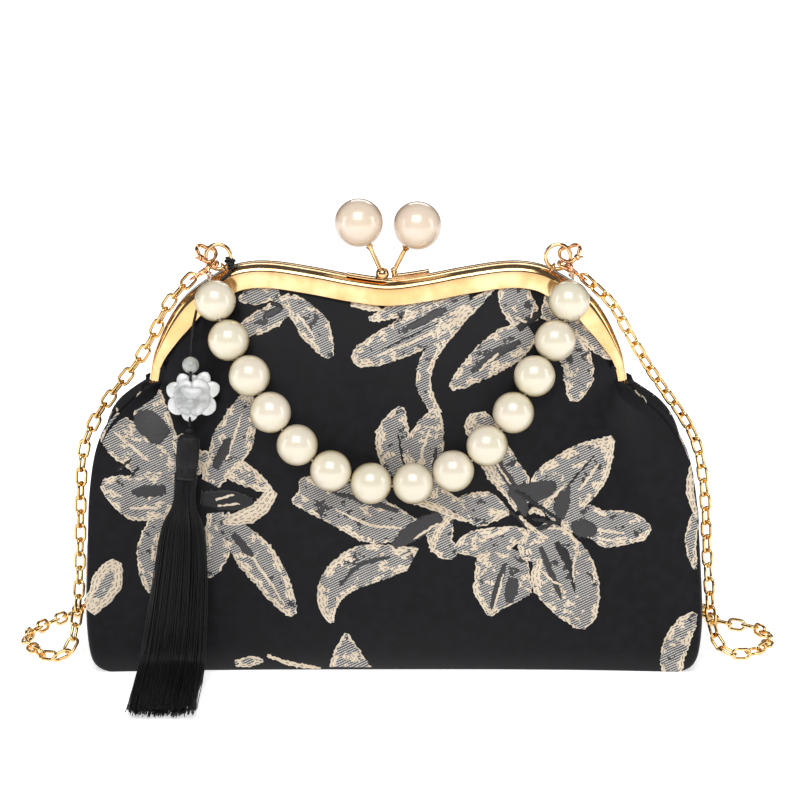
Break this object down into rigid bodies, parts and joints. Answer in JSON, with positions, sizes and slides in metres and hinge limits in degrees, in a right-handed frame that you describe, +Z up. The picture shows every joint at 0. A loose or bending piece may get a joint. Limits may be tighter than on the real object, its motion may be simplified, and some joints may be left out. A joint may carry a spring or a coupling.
{
  "type": "kiss-lock evening purse",
  "caption": "Soft brocade evening purse on an arched metal kiss-lock frame, with a pearl handle, a shoulder chain on lobster clasps and a jade and silk tassel.",
  "frame": {"origin": "middle of the pouch's flat base, on the floor", "axes": "+Z up, the front with the pearl handle faces -Y, +X to the right seen from the front"},
  "size_m": [0.3035, 0.2358, 0.1828],
  "materials": {
    "brocade": "black satin brocade with cream and silver flowers",
    "brass": "polished pale gold plate",
    "rose_brass": "polished rose gold plate",
    "pearl": "cream pearl lustre",
    "nylon": "pale stringing thread",
    "black_silk": "black silk cord and threads",
    "jade": "pale milky jade"
  },
  "bodies": {
    "bag": {"pouch": "brocade", "frame_front": "brass", "frame_back": "brass", "hinge_rivet_left": "brass", "hinge_rivet_right": "brass", "clasp_stem_front": "brass", "clasp_pearl_left": "pearl", "clasp_stem_back": "brass", "clasp_pearl_right": "pearl", "shoulder_ring_left": "brass", "shoulder_ring_right": "brass", "handle_clasp_left": "rose_brass", "handle_clasp_right": "rose_brass", "pearl_01": "pearl", "pearl_02": "pearl", "pearl_03": "pearl", "pearl_04": "pearl", "pearl_05": "pearl", "pearl_06": "pearl", "pearl_07": "pearl", "pearl_08": "pearl", "pearl_09": "pearl", "pearl_10": "pearl", "pearl_11": "pearl", "pearl_12": "pearl", "pearl_13": "pearl", "pearl_14": "pearl", "handle_thread": "nylon", "chain_clasp_left": "rose_brass", "chain_clasp_right": "rose_brass", "shoulder_chain": "brass", "cord_knot": "black_silk", "tassel_cord": "black_silk", "tassel_bead": "jade", "lotus": "jade", "tassel": "black_silk"},
    "handle_clasp_lever_left": {"handle_clasp_lever_left": "rose_brass"},
    "handle_clasp_lever_right": {"handle_clasp_lever_right": "rose_brass"},
    "chain_clasp_lever_left": {"chain_clasp_lever_left": "rose_brass"},
    "chain_clasp_lever_right": {"chain_clasp_lever_right": "rose_brass"}
  },
  "joints": [
    {"name": "handle_clasp_gate_left", "type": "hinge", "parent": "bag", "child": "handle_clasp_lever_left", "pos_m": [-0.07508, -0.00625, 0.16089], "axis": [-0.5563, 0.5812, -0.594], "range_deg": [0, 20], "stiffness_Nm_per_rad": 0.01},
    {"name": "handle_clasp_gate_right", "type": "hinge", "parent": "bag", "child": "handle_clasp_lever_right", "pos_m": [0.07106, -0.00555, 0.16098], "axis": [-0.3977, -0.7118, 0.5789], "range_deg": [0, 20], "stiffness_Nm_per_rad": 0.01},
    {"name": "chain_clasp_gate_left", "type": "hinge", "parent": "bag", "child": "chain_clasp_lever_left", "pos_m": [-0.0738, -0.00459, 0.15471], "axis": [-0.5299, 0, 0.848], "range_deg": [0, 8], "stiffness_Nm_per_rad": 0.01},
    {"name": "chain_clasp_gate_right", "type": "hinge", "parent": "bag", "child": "chain_clasp_lever_right", "pos_m": [0.069, -0.00141, 0.15471], "axis": [0.5299, 0, 0.848], "range_deg": [0, 8], "stiffness_Nm_per_rad": 0.01}
  ]
}
